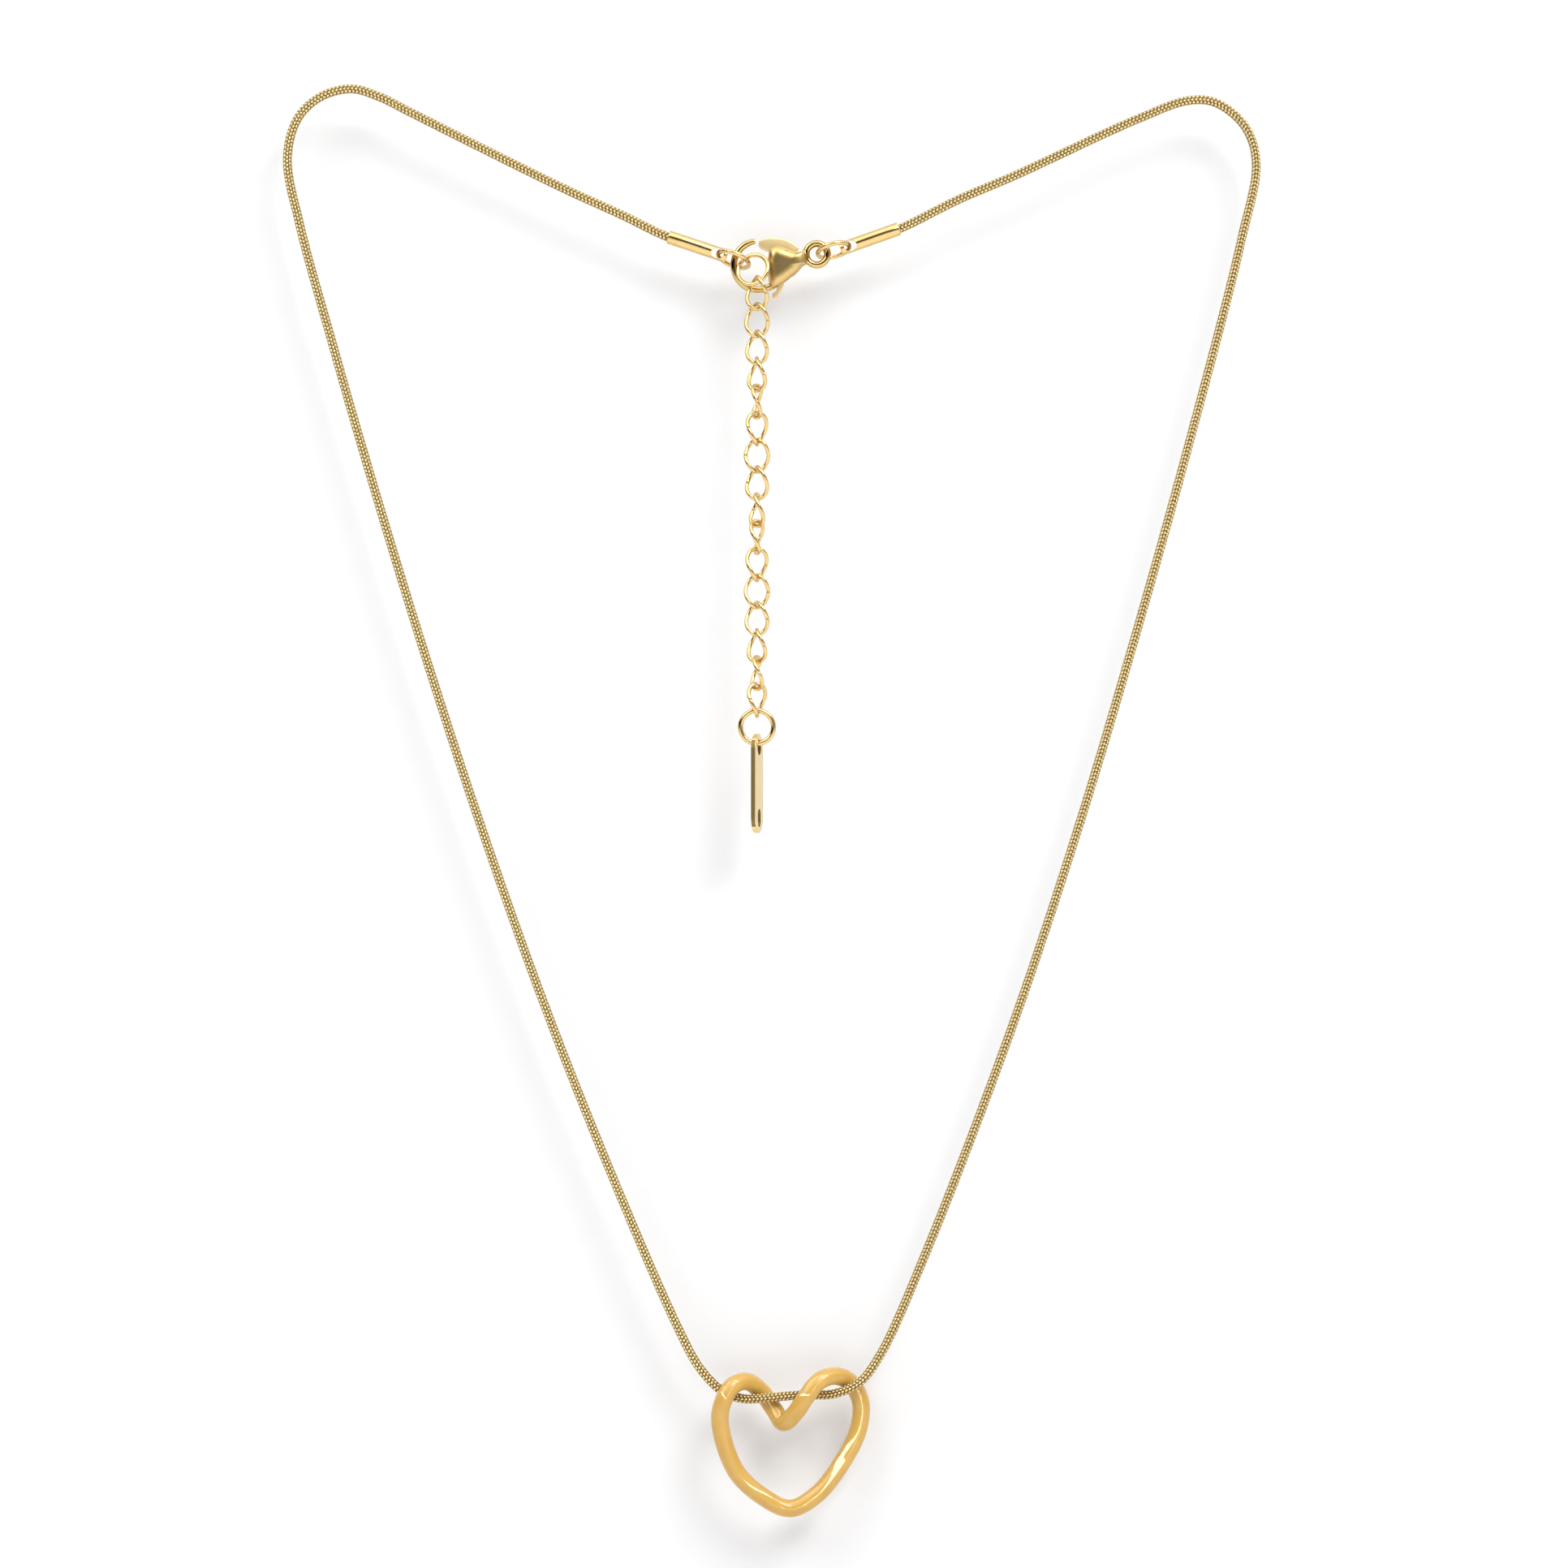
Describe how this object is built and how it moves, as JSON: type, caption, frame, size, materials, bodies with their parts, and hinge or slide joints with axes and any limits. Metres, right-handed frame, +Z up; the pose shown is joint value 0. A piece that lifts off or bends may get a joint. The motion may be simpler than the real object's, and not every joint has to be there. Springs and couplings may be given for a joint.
{
  "type": "pendant necklace",
  "caption": "Pendant necklace: an open heart of round tube threaded on a fine snake chain, with a lobster clasp and a link extender ending in a flat tag.",
  "frame": {"origin": "midway between the two supports that the chain hangs over, in the middle plane of the chain", "axes": "+Z up, +X to the right seen from the front, -Y towards the front"},
  "size_m": [0.1024, 0.0061, 0.1499],
  "materials": {
    "chain_gold": "gold-plated stainless steel snake chain, small polished rings",
    "ring_gold": "gold-plated stainless steel wire, polished",
    "heart_gold": "gold-plated stainless steel, mirror polished, warm tone",
    "satin_gold": "gold-plated stainless steel, satin",
    "lever_gold": "gold-plated stainless steel, fine matte",
    "tag_gold": "gold-plated stainless steel, polished faces and dark cut edge",
    "spring_steel": "bare spring steel wire"
  },
  "bodies": {
    "chain": {"snake_chain": "chain_gold", "left_end_cap": "ring_gold", "right_end_cap": "ring_gold"},
    "pendant": {"heart_pendant": "heart_gold"},
    "left_ring": {"left_jump_ring": "ring_gold"},
    "extender_ring": {"extender_ring": "ring_gold"},
    "link_01": {"extender_link_01": "ring_gold"},
    "link_02": {"extender_link_02": "ring_gold"},
    "link_03": {"extender_link_03": "ring_gold"},
    "link_04": {"extender_link_04": "ring_gold"},
    "link_05": {"extender_link_05": "ring_gold"},
    "link_06": {"extender_link_06": "ring_gold"},
    "link_07": {"extender_link_07": "ring_gold"},
    "link_08": {"extender_link_08": "ring_gold"},
    "link_09": {"extender_link_09": "ring_gold"},
    "link_10": {"extender_link_10": "ring_gold"},
    "link_11": {"extender_link_11": "ring_gold"},
    "link_12": {"extender_link_12": "ring_gold"},
    "link_13": {"extender_link_13": "ring_gold"},
    "link_14": {"extender_link_14": "ring_gold"},
    "link_15": {"extender_link_15": "ring_gold"},
    "link_16": {"extender_link_16": "ring_gold"},
    "tag_ring": {"tag_ring": "ring_gold"},
    "tag": {"end_tag": "tag_gold"},
    "right_ring": {"right_jump_ring": "ring_gold"},
    "clasp": {"clasp_body": "satin_gold", "clasp_pivot_pin": "satin_gold", "clasp_spring": "spring_steel"},
    "lever": {"clasp_lever": "lever_gold"}
  },
  "joints": [
    {"name": "pendant_swing", "type": "hinge", "parent": "chain", "child": "pendant", "pos_m": [0.0012, 0, -0.13635], "axis": [0.9976, 0, 0.0698], "range_deg": [-8, 8]},
    {"name": "left_ring_swing", "type": "hinge", "parent": "chain", "child": "left_ring", "pos_m": [-0.00586, 0, -0.01694], "axis": [0, -1, 0], "range_deg": [-1, 1]},
    {"name": "extender_ring_swing", "type": "hinge", "parent": "left_ring", "child": "extender_ring", "pos_m": [-0.00259, 0, -0.01814], "axis": [0.101, -0.9563, 0.2744], "range_deg": [-2, 2]},
    {"name": "link_01_swing", "type": "hinge", "parent": "extender_ring", "child": "link_01", "pos_m": [-0.00142, -0.00193, -0.02009], "axis": [0.8317, -0.1361, 0.5383], "range_deg": [-20, 2]},
    {"name": "link_02_swing", "type": "hinge", "parent": "link_01", "child": "link_02", "pos_m": [-0.00172, -0.00186, -0.02298], "axis": [0.9976, 0.0698, 0], "range_deg": [-20, 20]},
    {"name": "link_03_swing", "type": "hinge", "parent": "link_02", "child": "link_03", "pos_m": [-0.00172, -0.00186, -0.02581], "axis": [0.9397, 0.342, 0], "range_deg": [-20, 20]},
    {"name": "link_04_swing", "type": "hinge", "parent": "link_03", "child": "link_04", "pos_m": [-0.00172, -0.00186, -0.02864], "axis": [0.9945, 0.1045, 0], "range_deg": [-20, 20]},
    {"name": "link_05_swing", "type": "hinge", "parent": "link_04", "child": "link_05", "pos_m": [-0.00172, -0.00186, -0.03147], "axis": [0.9703, -0.2419, 0], "range_deg": [-20, 20]},
    {"name": "link_06_swing", "type": "hinge", "parent": "link_05", "child": "link_06", "pos_m": [-0.00172, -0.00186, -0.0343], "axis": [0.6157, -0.788, 0], "range_deg": [-20, 20]},
    {"name": "link_07_swing", "type": "hinge", "parent": "link_06", "child": "link_07", "pos_m": [-0.00172, -0.00186, -0.03713], "axis": [-0.1392, -0.9903, 0], "range_deg": [-20, 20]},
    {"name": "link_08_swing", "type": "hinge", "parent": "link_07", "child": "link_08", "pos_m": [-0.00172, -0.00186, -0.03996], "axis": [-0.7431, -0.6691, 0], "range_deg": [-20, 20]},
    {"name": "link_09_swing", "type": "hinge", "parent": "link_08", "child": "link_09", "pos_m": [-0.00172, -0.00186, -0.04279], "axis": [-0.9903, -0.1392, 0], "range_deg": [-20, 20]},
    {"name": "link_10_swing", "type": "hinge", "parent": "link_09", "child": "link_10", "pos_m": [-0.00172, -0.00186, -0.04562], "axis": [-0.866, 0.5, 0], "range_deg": [-20, 20]},
    {"name": "link_11_swing", "type": "hinge", "parent": "link_10", "child": "link_11", "pos_m": [-0.00172, -0.00186, -0.04845], "axis": [-0.4226, 0.9063, 0], "range_deg": [-20, 20]},
    {"name": "link_12_swing", "type": "hinge", "parent": "link_11", "child": "link_12", "pos_m": [-0.00172, -0.00186, -0.05128], "axis": [0.2079, 0.9781, 0], "range_deg": [-20, 20]},
    {"name": "link_13_swing", "type": "hinge", "parent": "link_12", "child": "link_13", "pos_m": [-0.00172, -0.00186, -0.05411], "axis": [0.766, 0.6428, 0], "range_deg": [-20, 20]},
    {"name": "link_14_swing", "type": "hinge", "parent": "link_13", "child": "link_14", "pos_m": [-0.00172, -0.00186, -0.05694], "axis": [0.9659, 0.2588, 0], "range_deg": [-20, 20]},
    {"name": "link_15_swing", "type": "hinge", "parent": "link_14", "child": "link_15", "pos_m": [-0.00172, -0.00186, -0.05977], "axis": [0.9781, -0.2079, 0], "range_deg": [-20, 20]},
    {"name": "link_16_swing", "type": "hinge", "parent": "link_15", "child": "link_16", "pos_m": [-0.00172, -0.00186, -0.0626], "axis": [0.766, -0.6428, 0], "range_deg": [-20, 20]},
    {"name": "tag_ring_swing", "type": "hinge", "parent": "link_16", "child": "tag_ring", "pos_m": [-0.00172, -0.00186, -0.06543], "axis": [0.0698, -0.9976, 0], "range_deg": [-25, 25]},
    {"name": "tag_swing", "type": "hinge", "parent": "tag_ring", "child": "tag", "pos_m": [-0.00172, -0.00186, -0.06827], "axis": [1, 0, 0], "range_deg": [-30, 30]},
    {"name": "right_ring_swing", "type": "hinge", "parent": "chain", "child": "right_ring", "pos_m": [0.00801, 0, -0.01617], "axis": [0, -1, 0], "range_deg": [-1, 1]},
    {"name": "clasp_swing", "type": "hinge", "parent": "right_ring", "child": "clasp", "pos_m": [0.00464, 0, -0.01701], "axis": [0, -1, 0], "range_deg": [-0.5, 1.5]},
    {"name": "lever_pivot", "type": "hinge", "parent": "clasp", "child": "lever", "pos_m": [0.00129, 0, -0.01689], "axis": [0, -1, 0], "range_deg": [0, 18], "stiffness_Nm_per_rad": 0.002, "springref_deg": -20.05, "deforming": ["clasp_spring"]}
  ]
}
